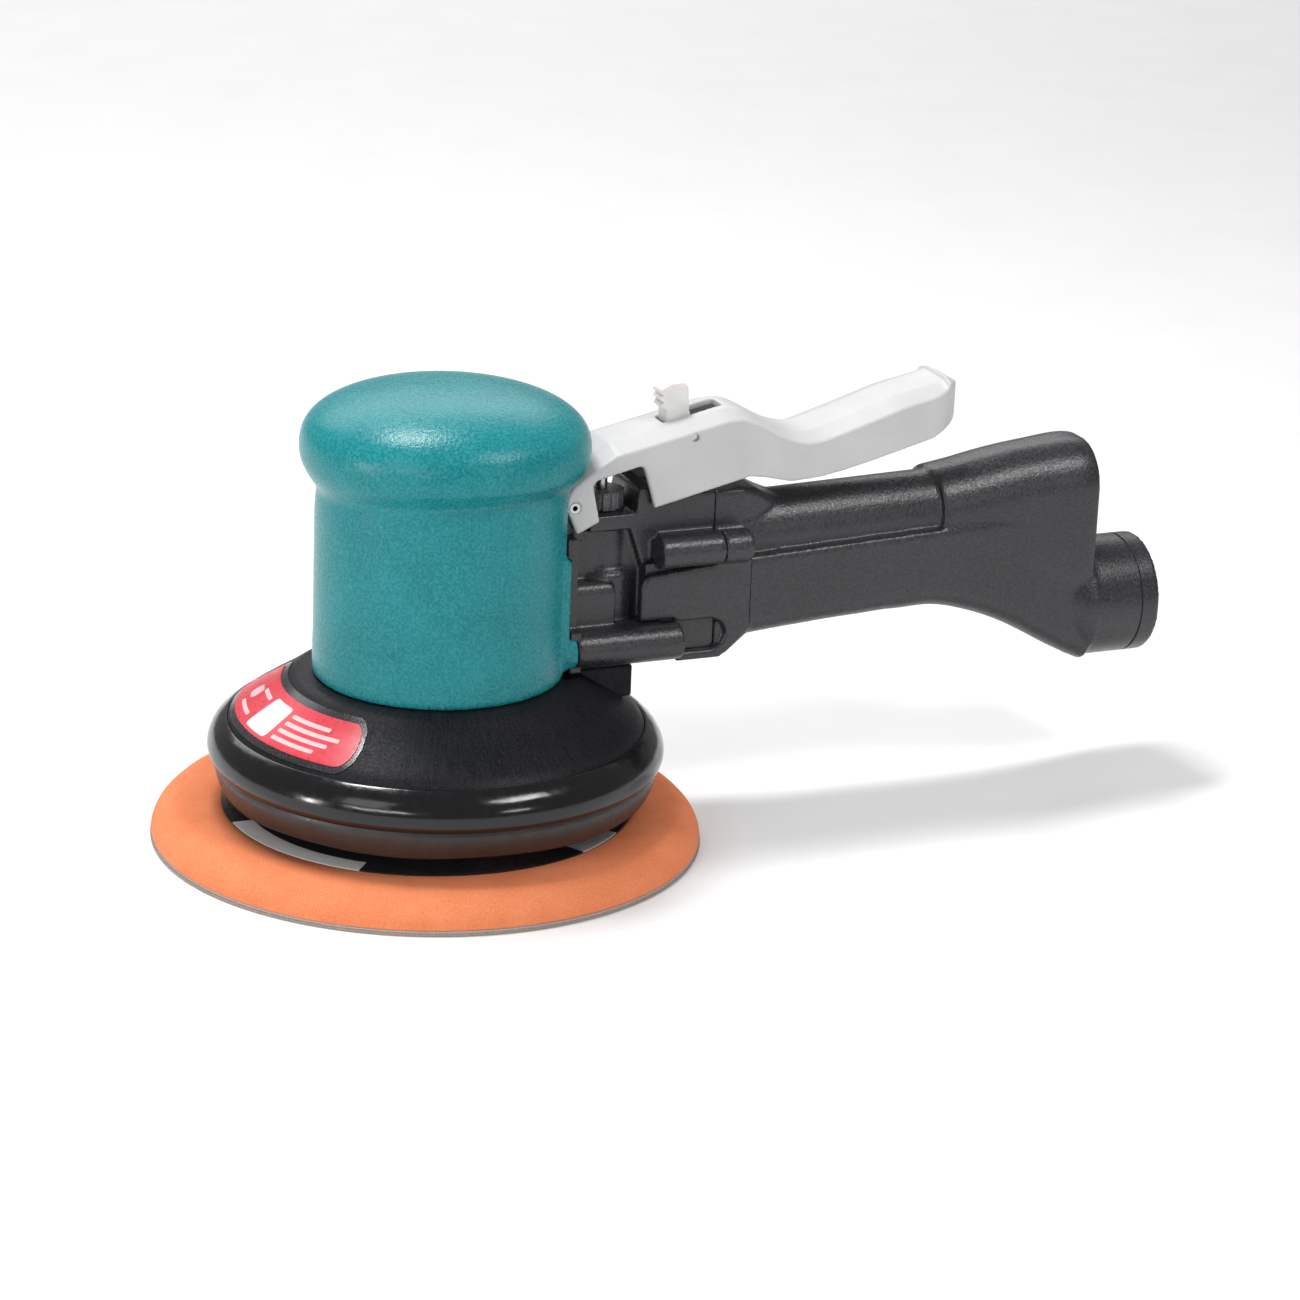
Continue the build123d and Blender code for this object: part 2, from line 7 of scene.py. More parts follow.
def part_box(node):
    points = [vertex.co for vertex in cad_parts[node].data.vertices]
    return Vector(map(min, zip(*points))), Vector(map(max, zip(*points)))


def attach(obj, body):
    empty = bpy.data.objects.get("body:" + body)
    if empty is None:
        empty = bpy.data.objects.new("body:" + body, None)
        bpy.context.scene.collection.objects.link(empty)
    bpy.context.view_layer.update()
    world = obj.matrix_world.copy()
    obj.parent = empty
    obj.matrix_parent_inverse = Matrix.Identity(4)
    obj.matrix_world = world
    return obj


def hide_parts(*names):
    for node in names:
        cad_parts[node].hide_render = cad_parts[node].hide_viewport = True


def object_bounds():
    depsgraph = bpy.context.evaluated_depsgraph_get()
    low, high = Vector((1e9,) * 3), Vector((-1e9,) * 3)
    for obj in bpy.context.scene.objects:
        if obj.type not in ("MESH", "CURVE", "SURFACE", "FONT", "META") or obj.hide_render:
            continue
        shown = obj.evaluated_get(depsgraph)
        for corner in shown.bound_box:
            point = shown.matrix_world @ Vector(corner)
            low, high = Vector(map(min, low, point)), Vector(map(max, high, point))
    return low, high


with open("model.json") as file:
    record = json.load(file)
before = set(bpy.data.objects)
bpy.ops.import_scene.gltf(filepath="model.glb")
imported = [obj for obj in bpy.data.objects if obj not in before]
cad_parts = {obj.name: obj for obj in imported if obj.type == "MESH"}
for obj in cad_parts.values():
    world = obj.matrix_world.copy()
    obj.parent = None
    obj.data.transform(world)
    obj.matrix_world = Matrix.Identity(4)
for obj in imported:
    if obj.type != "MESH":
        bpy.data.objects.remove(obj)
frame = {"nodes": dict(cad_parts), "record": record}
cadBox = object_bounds()
mm = 0.001
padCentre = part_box("abrasive_disc")
padX = (padCentre[0].x + padCentre[1].x) / 2
print("frame loaded,", len(frame["nodes"]), "nodes")


# camera, light and floor
cameraSetup = {"place": (-0.4029, -1.0477, 0.4367), "azimuth": -24.0, "elevation": 18.79, "roll": 2.28,
               "lens": 119.6}


def addCamera(setup):
    az, el, roll = (radians(setup[key]) for key in ("azimuth", "elevation", "roll"))
    back = Vector((sin(az) * cos(el), -cos(az) * cos(el), sin(el)))
    right = Vector((cos(az), sin(az), 0))
    up = back.cross(right)
    turned = Matrix((right * cos(roll) + up * sin(roll),
                     up * cos(roll) - right * sin(roll), back)).transposed()
    bpy.ops.object.camera_add()
    camera = bpy.context.object
    camera.matrix_world = Matrix.Translation(setup["place"]) @ turned.to_4x4()
    camera.data.lens = setup["lens"]
    camera.data.clip_start = 0.05
    bpy.context.scene.camera = camera


# places and sizes in metres
skyStrength = 0.25
lampSetup = {
    "softboxTop": {"place": (-0.13, 0.31, 1.08), "size": (0.40, 0.16), "watts": 9.0, "aim": (0.02, 0, 0.08)},
    "softboxLeft": {"place": (-0.80, -0.50, 0.75), "size": (0.4, 0.5), "watts": 1.5, "aim": (0.04, 0, 0.06)},
    "sideLeft": {"place": (-1.10, -0.14, 0.20), "size": (0.12, 0.24), "watts": 3.2, "aim": (0, 0, 0.08)},
    "lowLeft": {"place": (-0.80, -0.72, 0.36), "size": (0.60, 0.10), "watts": 2.0, "aim": (0, 0, 0.04)},
    "softboxRight": {"place": (0.42, -0.56, 0.92), "size": (0.40, 0.20), "watts": 4.4,
                     "aim": (0.04, 0, 0.08)},
    "stripFront": {"place": (0.42, -1.20, 0.42), "size": (0.24, 0.10), "watts": 1.0, "aim": (0, 0, 0.04)},
    "backWash": {"place": (0.40, 1.90, 1.30), "size": (2.4, 1.2), "watts": 22, "aim": (0.4, 1.7, 0)},
}


def addLamps(lamps):
    for name, lamp in lamps.items():
        bpy.ops.object.light_add(type="AREA", location=lamp["place"])
        light = bpy.context.object
        light.name = name
        light.data.shape = "RECTANGLE"
        light.data.size, light.data.size_y = lamp["size"]
        light.data.energy = lamp["watts"]
        light.rotation_mode = "QUATERNION"
        light.rotation_quaternion = (Vector(lamp["aim"]) - light.location).to_track_quat("-Z", "Y")
    world = bpy.data.worlds.new("studioSky")
    bpy.context.scene.world = world
    world.use_nodes = True
    sky = world.node_tree.nodes["Background"]
    sky.inputs["Color"].default_value = (1, 1, 1, 1)
    sky.inputs["Strength"].default_value = skyStrength


addCamera(cameraSetup)
addLamps(lampSetup)
bpy.context.scene.view_settings.view_transform = "Standard"
print("camera and lamps placed")


# shader helpers
class Wire:
    # one socket of a material; arithmetic on it adds Math nodes
    def __init__(self, shade, socket):
        self.shade, self.socket = shade, socket

    def maths(self, operation, a, b):
        return self.shade.node("ShaderNodeMath", {"operation": operation}, {0: a, 1: b})

    def __add__(self, other):
        return self.maths("ADD", self, other)

    def __radd__(self, other):
        return self.maths("ADD", other, self)

    def __sub__(self, other):
        return self.maths("SUBTRACT", self, other)

    def __rsub__(self, other):
        return self.maths("SUBTRACT", other, self)

    def __mul__(self, other):
        return self.maths("MULTIPLY", self, other)

    def __rmul__(self, other):
        return self.maths("MULTIPLY", other, self)

    def __gt__(self, other):
        return self.maths("GREATER_THAN", self, other)

    def __lt__(self, other):
        return self.maths("LESS_THAN", self, other)


class Shade:
    # a node material built round one Principled shader
    def __init__(self, name, **constants):
        self.material = bpy.data.materials.new(name)
        self.material.use_nodes = True
        self.tree = self.material.node_tree
        self.shader = self.tree.nodes["Principled BSDF"]
        for socket, value in constants.items():
            self.shader.inputs[socket.replace("_", " ")].default_value = value
        self.place = self.node("ShaderNodeTexCoord", {}, {}, "Object")

    def node(self, kind, settings, sockets, output=0):
        made = self.tree.nodes.new(kind)
        for key, value in settings.items():
            setattr(made, key, value)
        for key, value in sockets.items():
            if isinstance(value, Wire):
                self.tree.links.new(value.socket, made.inputs[key])
            else:
                made.inputs[key].default_value = value
        return Wire(self, made.outputs[output])

    def feed(self, socket, wire):
        self.tree.links.new(wire.socket, self.shader.inputs[socket])

    def noise(self, size, detail=2.0, place=None):
        # size of the grain in mm
        return self.node("ShaderNodeTexNoise", {}, {"Vector": place or self.place, "Scale": 1 / (size * mm),
                                                    "Detail": detail, "Roughness": 0.5})

    def cells(self, size):
        # size of the cells in mm
        return self.node("ShaderNodeTexVoronoi", {"feature": "F1"}, {"Vector": self.place,
                                                                    "Scale": 1 / (size * mm)})

    def spread(self, wire, low, high, toLow=0.0, toHigh=1.0):
        return self.node("ShaderNodeMapRange", {}, {"Value": wire, "From Min": low, "From Max": high,
                                                    "To Min": toLow, "To Max": toHigh})

    def mix(self, factor, a, b):
        return self.node("ShaderNodeMix", {"data_type": "RGBA"}, {0: factor, 6: a, 7: b}, 2)

    def bump(self, height, distance, strength):
        # distance in mm
        self.feed("Normal", self.node("ShaderNodeBump", {}, {"Height": height, "Distance": distance * mm,
                                                             "Strength": strength}))

    def axis(self, index, shift=(0, 0, 0)):
        # one object coordinate in metres, after a shift
        moved = self.node("ShaderNodeMapping", {}, {"Vector": self.place, "Location": shift})
        return self.node("ShaderNodeSeparateXYZ", {}, {"Vector": moved}, index)


def colour(r, g, b):
    return (r, g, b, 1)


# materials, one function each
def tealRubberShade():
    s = Shade("tealRubber", Roughness=0.35, IOR=1.5, Specular_IOR_Level=0.24)
    grain = s.noise(0.7, 2)
    speckle = s.spread(grain, 0.4, 0.75)
    cloud = s.noise(14, 3)
    tone = s.mix(s.spread(cloud, 0.3, 0.7), colour(0.001, 0.172, 0.188), colour(0.004, 0.208, 0.228))
    s.feed("Base Color", s.mix(speckle * 0.5, tone, colour(0.075, 0.36, 0.395)))
    s.feed("Roughness", s.spread(grain, 0.3, 0.7, 0.22, 0.34))
    s.bump(grain + s.cells(1.2) * 0.4, 0.17, 0.7)
    return s.material


def mouldedBlackShade(name, dark, light, grainSize=0.75, rough=(0.26, 0.42), depth=0.2, gloss=0.6):
    s = Shade(name, Roughness=0.5, IOR=1.5, Specular_IOR_Level=gloss)
    grain = s.noise(grainSize, 2)
    fine = s.noise(grainSize * 0.45, 1)
    cloud = s.noise(22, 3)
    tone = s.mix(s.spread(cloud, 0.3, 0.7), dark, light)
    fleck = s.spread(grain * 0.6 + fine * 0.4, 0.44, 0.62)
    glint = colour(*(3.0 * c for c in light[:3]))
    s.feed("Base Color", s.mix(fleck * 0.55, tone, glint))
    s.feed("Roughness", s.spread(grain, 0.3, 0.7, *rough))
    s.bump(grain * 0.7 + fine * 0.3, depth, 0.7)
    return s.material


def streakedBlackShade():
    # the cone's moulding, with faint streaks running down its slope
    s = Shade("coneBlack", Roughness=0.45, IOR=1.5, Specular_IOR_Level=0.14)
    turn = s.node("ShaderNodeMath", {"operation": "ARCTAN2"}, {0: s.axis(1), 1: s.axis(0)})
    around = s.node("ShaderNodeCombineXYZ", {}, {0: turn * 0.05, 1: s.axis(2) * 0.10})
    streak = s.spread(s.noise(0.5, 3, around), 0.42, 0.66)
    grain = s.spread(s.noise(0.6, 2), 0.45, 0.66)
    tone = s.mix(streak * 0.6, colour(0.007, 0.007, 0.009), colour(0.022, 0.022, 0.026))
    s.feed("Base Color", s.mix(grain * 0.3, tone, colour(0.040, 0.040, 0.046)))
    s.feed("Roughness", s.spread(s.noise(0.8, 2), 0.3, 0.7, 0.38, 0.54))
    s.bump(s.noise(0.6, 2), 0.12, 0.6)
    return s.material


def glossBlackShade():
    s = Shade("glossBlack", Roughness=0.16, IOR=1.5, Base_Color=colour(0.006, 0.006, 0.007))
    s.feed("Roughness", s.spread(s.noise(2.5, 4), 0.3, 0.7, 0.10, 0.22))
    s.bump(s.noise(9, 2), 0.35, 0.35)
    return s.material


def brownRubberShade():
    s = Shade("brownRubber", Roughness=0.4)
    low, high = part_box("skirt_band")
    height = s.spread(s.axis(2), low.z, high.z)
    # browner at the band's foot and darkest at its top; the brown is partly the rubber's own colour and
    # partly painted reflection of the orange foam below
    tone = s.mix(height, colour(0.036, 0.023, 0.016), colour(0.012, 0.011, 0.011))
    s.feed("Base Color", s.mix(s.spread(s.noise(5, 3), 0.35, 0.7) * 0.35, tone, colour(0.045, 0.034, 0.028)))
    s.feed("Roughness", s.spread(s.noise(1.2, 3), 0.3, 0.7, 0.28, 0.5))
    s.bump(s.noise(0.8, 3), 0.05, 0.5)
    return s.material


def orangeFoamShade():
    s = Shade("orangeFoam", Roughness=0.95, Specular_IOR_Level=0.25)
    pores = s.cells(0.55)
    fine = s.noise(0.35, 2)
    cloud = s.spread(s.noise(11, 3), 0.3, 0.7)
    tone = s.mix(cloud, colour(0.73, 0.190, 0.070), colour(0.80, 0.235, 0.100))
    skin = s.mix(s.spread(fine, 0.4, 0.7) * 0.5, tone, colour(0.86, 0.36, 0.19))
    # the dark spots at the pores' centres are painted shade in the pores
    s.feed("Base Color", s.mix(s.spread(pores, 0.0, 0.28), colour(0.56, 0.115, 0.035), skin))
    s.bump(s.spread(pores, 0.0, 0.45) * 0.7 + fine * 0.5, 0.14, 0.6)
    return s.material


# the hub's pale wedges: start and end in degrees, and the radius in mm they begin at
hubWedges = {"spans": ((-179.9, -129), (-62, -44)), "inside": 50.5}


def hubPrintShade():
    # black print with two pale wedges, read round the pad's own centre
    s = Shade("hubPrint", Roughness=0.35)
    x, y = s.axis(0, (-padX, 0, 0)), s.axis(1)
    turn = s.node("ShaderNodeMath", {"operation": "ARCTAN2"}, {0: y, 1: x}) * (180 / pi)
    radius = s.node("ShaderNodeMath", {"operation": "SQRT"}, {0: x * x + y * y})
    pale = 0
    for start, end in hubWedges["spans"]:
        pale = pale + (turn > start) * (turn < end) * (radius > hubWedges["inside"] * mm)
    s.feed("Base Color", s.mix(pale, colour(0.022, 0.022, 0.024), colour(0.84, 0.83, 0.80)))
    s.feed("Roughness", s.spread(s.noise(1.5, 3), 0.3, 0.7, 0.26, 0.46))
    s.bump(s.noise(0.8, 2), 0.02, 0.4)
    return s.material


def roundedPatch(s, u, v, centre, half, corner):
    # 1 inside a rectangle with rounded corners, all in mm
    past = []
    for place, middle, reach in zip((u, v), centre, half):
        away = s.node("ShaderNodeMath", {"operation": "ABSOLUTE"}, {0: place - middle}) - (reach - corner)
        past.append(s.node("ShaderNodeMath", {"operation": "MAXIMUM"}, {0: away, 1: 0.0}))
    return past[0] * past[0] + past[1] * past[1] < corner * corner


# middle in degrees round the cone, the rest in mm. The window and bars are centre and half size, along the
# label from its middle and up from its centre line.
label = {"middle": 183.5, "radius": 48.5, "halfLength": 34.3, "centreZ": 39.85, "halfHeight": 4.15,
         "corner": 4.0, "thickness": 0.35, "window": ((0.4, 0.0), (5.6, 3.1), 1.1),
         "bars": [((16.0, 2.15), (8.0, 0.36)), ((18.2, 0.7), (10.2, 0.36)), ((17.0, -0.75), (9.0, 0.36)),
                  ((15.6, -2.2), (7.6, 0.36)), ((-12.2, 2.0), (4.4, 0.36)), ((-14.0, -2.0), (5.6, 0.36)),
                  ((-19.5, 0.4), (2.8, 1.2))]}


def redLabelShade():
    s = Shade("redLabel", Roughness=0.3)
    turn = s.node("ShaderNodeMath", {"operation": "ARCTAN2"}, {0: 0 - s.axis(1), 1: 0 - s.axis(0)})
    u = (turn - radians(label["middle"] - 180)) * label["radius"]
    v = s.axis(2) * (1 / mm) - label["centreZ"]
    red = s.mix(s.spread(s.noise(6, 3), 0.3, 0.7), colour(0.60, 0.032, 0.055), colour(0.66, 0.048, 0.072))
    centre, half, corner = label["window"]
    tone = s.mix(roundedPatch(s, u, v, centre, half, corner), red, colour(0.80, 0.79, 0.77))
    for centre, half in label["bars"]:
        tone = s.mix(roundedPatch(s, u, v, centre, half, half[1]) * 0.65, tone, colour(0.85, 0.72, 0.72))
    s.feed("Base Color", tone)
    s.feed("Roughness", s.spread(s.noise(1.5, 3), 0.3, 0.7, 0.24, 0.4))
    s.bump(s.noise(0.7, 2), 0.015, 0.4)
    return s.material


def paleLeverShade():
    s = Shade("paleLever", Roughness=0.42, IOR=1.49)
    cloud = s.spread(s.noise(16, 4), 0.3, 0.7)
    fleck = s.spread(s.noise(1.6, 3), 0.62, 0.74)
    tone = s.mix(cloud, colour(0.50, 0.495, 0.50), colour(0.55, 0.545, 0.55))
    s.feed("Base Color", s.mix(fleck * 0.25, tone, colour(0.38, 0.38, 0.38)))
    s.feed("Roughness", s.spread(s.noise(0.9, 3), 0.3, 0.7, 0.34, 0.5))
    s.bump(s.noise(0.7, 2), 0.035, 0.35)
    return s.material


def milkyWhiteShade():
    s = Shade("milkyWhite", Roughness=0.3, IOR=1.46, Subsurface_Weight=0.35, Subsurface_Scale=0.004)
    s.feed("Base Color", s.mix(s.spread(s.noise(4, 3), 0.3, 0.7), colour(0.70, 0.70, 0.67),
                               colour(0.78, 0.78, 0.76)))
    s.bump(s.noise(1.0, 2), 0.04, 0.4)
    return s.material


def metalShade(name, tone, rough=0.3, streak=0.5):
    s = Shade(name, Metallic=1.0, Roughness=rough)
    stretched = s.node("ShaderNodeMapping", {}, {"Vector": s.place, "Scale": (0.08, 1, 1)})
    brushed = s.noise(streak, 4, stretched)
    darker = colour(*(0.82 * c for c in tone))
    s.feed("Base Color", s.mix(s.spread(brushed, 0.35, 0.65), darker, colour(*tone)))
    s.feed("Roughness", s.spread(s.noise(streak * 2, 3), 0.3, 0.7, rough * 0.8, rough * 1.3))
    s.bump(brushed, 0.01, 0.4)
    return s.material


def plainGrainShade(name, dark, light, size, rough, depth=0.05):
    s = Shade(name, Roughness=rough)
    grain = s.noise(size, 4)
    s.feed("Base Color", s.mix(s.spread(grain, 0.3, 0.7), dark, light))
    s.feed("Roughness", s.spread(grain, 0.3, 0.7, rough * 0.85, min(1, rough * 1.15)))
    s.bump(grain, depth, 0.5)
    return s.material


shades = {
    "teal_rubber": tealRubberShade(),
    "black_moulding": mouldedBlackShade("blackMoulding", colour(0.011, 0.011, 0.013),
                                        colour(0.016, 0.016, 0.019)),
    "gloss_black": glossBlackShade(),
    "brown_rubber": brownRubberShade(),
    "red_label": redLabelShade(),
    "orange_foam": orangeFoamShade(),
    "hub_print": hubPrintShade(),
    "hook_face": plainGrainShade("hookFace", colour(0.32, 0.31, 0.30), colour(0.52, 0.51, 0.49),
                                 0.35, 0.9, 0.1),
    "abrasive": plainGrainShade("abrasiveGrit", colour(0.20, 0.15, 0.12), colour(0.45, 0.38, 0.33),
                                0.22, 0.85, 0.1),
    "pale_lever": paleLeverShade(),
    "clear_white": milkyWhiteShade(),
    "steel": metalShade("steel", (0.60, 0.60, 0.61)),
    "aluminium": metalShade("aluminium", (0.70, 0.70, 0.72), 0.36),
    "vane_composite": plainGrainShade("vaneComposite", colour(0.16, 0.09, 0.05), colour(0.27, 0.17, 0.10),
                                      0.8, 0.6),
    "seal_rubber": plainGrainShade("sealRubber", colour(0.012, 0.012, 0.012), colour(0.025, 0.025, 0.026),
                                   0.6, 0.6),
    "hub_fibre": plainGrainShade("hubFibre", colour(0.12, 0.11, 0.10), colour(0.24, 0.22, 0.19), 1.0, 0.55),
    "bronze": metalShade("bronze", (0.60, 0.44, 0.26), 0.38),
}
coneBlack = streakedBlackShade()
filmBlack = mouldedBlackShade("filmBlack", colour(0.012, 0.012, 0.014), colour(0.02, 0.02, 0.022), 0.5,
                              (0.16, 0.3), 0.02)
regulatorBlack = mouldedBlackShade("regulatorBlack", colour(0.05, 0.05, 0.055), colour(0.07, 0.07, 0.075),
                                   0.4)
slotOfNode = {part["node"]: part["material_slot"] for part in frame["record"]["subparts"]}
for nodeName, node in frame["nodes"].items():
    node.data.materials.clear()
    node.data.materials.append(shades[slotOfNode[nodeName]])
frame["nodes"]["speed_regulator"].data.materials[0] = regulatorBlack
print("materials made")


# modelling helpers
axisRadius = 0.01     # mm, as near the axis as a turned outline can come


def deselectAll():
    for thing in bpy.context.selected_objects:
        thing.select_set(False)


def pickOnly(piece):
    deselectAll()
    piece.select_set(True)
    bpy.context.view_layer.objects.active = piece


def addModifier(piece, kind, **settings):
    pickOnly(piece)
    modifier = piece.modifiers.new(kind.lower(), kind)
    for key, value in settings.items():
        setattr(modifier, key, value)
    bpy.ops.object.modifier_apply(modifier=modifier.name)


def placeInMesh(piece):
    pickOnly(piece)
    bpy.ops.object.transform_apply(location=True, rotation=True, scale=True)


def finishPiece(piece, body, shade, replaced=(), angle=40):
    placeInMesh(piece)
    piece.data.materials.clear()
    piece.data.materials.append(shade)
    bpy.ops.object.shade_smooth_by_angle(angle=radians(angle))
    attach(piece, body)
    if replaced:
        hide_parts(*replaced)
    print("made", piece.name, len(piece.data.polygons), "faces")


def eased(share):
    return share * share * (3 - 2 * share)


def smoothLine(points, steps):
    # points on a Catmull-Rom curve through (radius, height) points
    line = []
    padded = [points[0], *points, points[-1]]
    for before, start, end, after in zip(padded, padded[1:], padded[2:], padded[3:]):
        for i in range(steps):
            t = i / steps
            line.append(tuple(0.5 * (2 * b + (c - a) * t + (2 * a - 5 * b + 4 * c - d) * t * t
                                     + (3 * b - a - 3 * c + d) * t ** 3)
                              for a, b, c, d in zip(before, start, end, after)))
    return line + [points[-1]]


def turnedPiece(name, outline, centreX=0.0, segments=160):
    # a ring drawn up and round its section, from (radius, height) points in mm; centreX in metres
    deselectAll()
    radius, height = outline[0]
    bpy.ops.mesh.primitive_circle_add(vertices=segments, radius=radius * mm,
                                      location=(centreX, 0, height * mm))
    piece = bpy.context.object
    piece.name = name
    bpy.ops.object.mode_set(mode="EDIT")
    bpy.ops.mesh.select_all(action="SELECT")
    for nextRadius, nextHeight in outline[1:] + outline[:1]:
        rise = (nextHeight - height) * mm
        bpy.ops.mesh.extrude_region_move(TRANSFORM_OT_translate={"value": (0, 0, rise)})
        ratio = nextRadius / radius
        bpy.ops.transform.resize(value=(ratio, ratio, 1))
        radius, height = nextRadius, nextHeight
    bpy.ops.mesh.select_all(action="SELECT")
    bpy.ops.mesh.remove_doubles(threshold=0.02 * mm)
    bpy.ops.mesh.normals_make_consistent(inside=False)
    bpy.ops.object.mode_set(mode="OBJECT")
    placeInMesh(piece)
    return piece


def copyOfNode(nodeName, name):
    # a CAD node's mesh as a new piece, its loose triangles merged
    deselectAll()
    piece = frame["nodes"][nodeName].copy()
    piece.data = piece.data.copy()
    piece.parent = None
    piece.matrix_world = Matrix.Identity(4)
    piece.name = name
    bpy.context.collection.objects.link(piece)
    pickOnly(piece)
    bpy.ops.object.mode_set(mode="EDIT")
    bpy.ops.mesh.select_all(action="SELECT")
    bpy.ops.mesh.remove_doubles(threshold=0.002 * mm)
    bpy.ops.object.mode_set(mode="OBJECT")
    return piece


def softenMoulding(piece, voxel, passes):
    # an even skin with the rounded edges of a moulding
    addModifier(piece, "REMESH", mode="VOXEL", voxel_size=voxel * mm)
    addModifier(piece, "SMOOTH", factor=0.5, iterations=passes)


def cutAway(piece, cutter, operation="DIFFERENCE"):
    addModifier(piece, "BOOLEAN", object=cutter, operation=operation, solver="EXACT")
    bpy.data.objects.remove(cutter)


def addBlock(low, high, bevel=0.0):
    # low and high corners in mm
    deselectAll()
    centre = [(a + b) / 2 * mm for a, b in zip(low, high)]
    bpy.ops.mesh.primitive_cube_add(size=1, location=centre)
    piece = bpy.context.object
    piece.scale = [(b - a) * mm for a, b in zip(low, high)]
    placeInMesh(piece)
    if bevel:
        addModifier(piece, "BEVEL", width=bevel * mm, segments=4)
    return piece


def addRod(radius, start, end, y, z, sides=48):
    # a round bar along X, in mm
    deselectAll()
    bpy.ops.mesh.primitive_cylinder_add(vertices=sides, radius=radius * mm, depth=(end - start) * mm,
                                        location=((start + end) / 2 * mm, y * mm, z * mm),
                                        rotation=(0, pi / 2, 0))
    piece = bpy.context.object
    placeInMesh(piece)
    return piece


# teal palm grip
# radii and heights in mm
grip = {"inner": 30.95, "base": 34.55, "baseTop": 57.2, "column": 34.45, "capRadius": 39.6, "widest": 111.0,
        "crown": 17.0, "underside": 10.6, "bottom": 47.3, "roof": 110.1, "foot": ((34.0, 0), (34.4, 0.2)),
        "footTop": 0.7, "stations": 48.6, "stationStep": 0.75, "domeSteps": 24, "domePowers": (0.91, 0.77)}
# where the valve body bolts on: cut-outs for the lever and the flange, and the pad with two bosses
seat = {"leverCut": ((31.0, -14.8, 50), (60, 14.8, 107)), "flangeCut": ((31.0, -20, 47), (60, 20, 86.2)),
        "pad": ((20, -20, 50), (31.0, 20, 82)), "padBevel": 1.2,
        "window": ((20, -18.05, 50.95), (32, 18.05, 81.05)),
        "boss": {"radius": 5.2, "start": 29, "end": 33.35, "z": 54.5}, "bossY": 15.5}
# the soft cap sits a little toward the handle, and its crease rides up on both sides
capDrift = {"shift": 0.8, "low": 92, "over": 12, "crease": 100.4, "reach": 10.0, "lift": 3.6}


def gripRadius(z):
    # the column and the underside of the cap, before the crease is eased
    if z < grip["baseTop"]:
        return grip["base"]
    if z < grip["widest"] - grip["underside"]:
        return grip["column"]
    share = (grip["widest"] - z) / grip["underside"]
    return grip["column"] + (grip["capRadius"] - grip["column"]) * (1 - share ** 2)


def easedGripRadius(z, reach=0.9, count=7):
    spots = [z + reach * (2 * i / (count - 1) - 1) for i in range(count)]
    return sum(gripRadius(min(spot, grip["widest"])) for spot in spots) / count


def pushCap(piece):
    for point in piece.data.vertices:
        share = min(1.0, max(0.0, (point.co.z / mm - capDrift["low"]) / capDrift["over"]))
        point.co.x += capDrift["shift"] * mm * eased(share)
        reach = max(0.0, 1 - abs(point.co.z / mm - capDrift["crease"]) / capDrift["reach"])
        across = point.co.y ** 2 / max(1e-9, point.co.x ** 2 + point.co.y ** 2)
        point.co.z += capDrift["lift"] * mm * across * eased(reach)


def gripOutline():
    outline = [(grip["inner"], grip["bottom"])] + [(r, grip["bottom"] + up) for r, up in grip["foot"]]
    outline.append((grip["base"], grip["bottom"] + grip["footTop"]))
    z = grip["stations"]
    while z < grip["widest"]:
        outline.append((easedGripRadius(z), z))
        z += grip["stationStep"]
    across, upward = grip["domePowers"]
    for step in range(grip["domeSteps"]):
        a = radians(90 * step / grip["domeSteps"])
        height = grip["widest"] + grip["crown"] * sin(a) ** upward
        outline.append((grip["capRadius"] * cos(a) ** across, height))
    return outline + [(axisRadius, grip["widest"] + grip["crown"]), (axisRadius, grip["roof"]),
                      (grip["inner"], grip["roof"])]


def makePalmGrip():
    piece = turnedPiece("palmGrip", gripOutline(), segments=144)
    cutAway(piece, addBlock(*seat["leverCut"]))
    cutAway(piece, addBlock(*seat["flangeCut"]))
    pad = addBlock(*seat["pad"], seat["padBevel"])
    for side in (-1, 1):
        cutAway(pad, addRod(**seat["boss"], y=seat["bossY"] * side), "UNION")
    hole = [(axisRadius, 40), (grip["inner"], 40), (grip["inner"], 90), (axisRadius, 90)]
    cutAway(pad, turnedPiece("hole", hole))
    cutAway(piece, pad, "UNION")
    cutAway(piece, addBlock(*seat["window"]))
    softenMoulding(piece, 0.72, 3)
    pushCap(piece)
    finishPiece(piece, "tool_body", shades["teal_rubber"], ["grip_cover"], 60)


makePalmGrip()


# shroud cone, gloss ring, dust skirt
# (radius, height) points in mm; the belly is what the riser has to leave free inside the cone
cone = {"line": [(58.2, 31.0), (58.0, 32.4), (57.4, 33.4), (56.6, 34.4), (54.8, 36.0), (50.3, 39.0),
                 (45.6, 42.0), (41.6, 44.8), (39.2, 46.4), (37.4, 47.0)],
        "collar": [(36.6, 47.1), (30.85, 47.1), (30.85, 48.7)],
        "inside": [(20, 48.7), (20, 43), (32, 43), (36.5, 41.6), (45, 38.5), (51, 34), (54, 30.6), (54, 23),
                   (56.4, 23), (56.4, 31.0)]}
riser = {"block": ((30, -12, 38), (53.2, 12, 47.3)), "bevel": 0.8, "duct": ((37, -9, 36), (52, 9, 50)),
         "neck": [(axisRadius, 30), (30.9, 30), (30.9, 47.1), (34.7, 47.1), (34.7, 60), (axisRadius, 60)],
         "belly": [(axisRadius, 20), (54, 20), (54, 30.6), (51, 34), (45, 38.5), (36.5, 41.6), (32, 43),
                   (axisRadius, 43)]}


def makeShroudCone():
    piece = turnedPiece("shroudCone", smoothLine(cone["line"], 5) + cone["collar"] + cone["inside"])
    block = addBlock(*riser["block"], riser["bevel"])
    cutAway(block, turnedPiece("neck", riser["neck"]))
    cutAway(block, turnedPiece("belly", riser["belly"]))
    cutAway(piece, block, "UNION")
    cutAway(piece, addBlock(*riser["duct"]))
    finishPiece(piece, "tool_body", coneBlack, ["shroud"], 35)


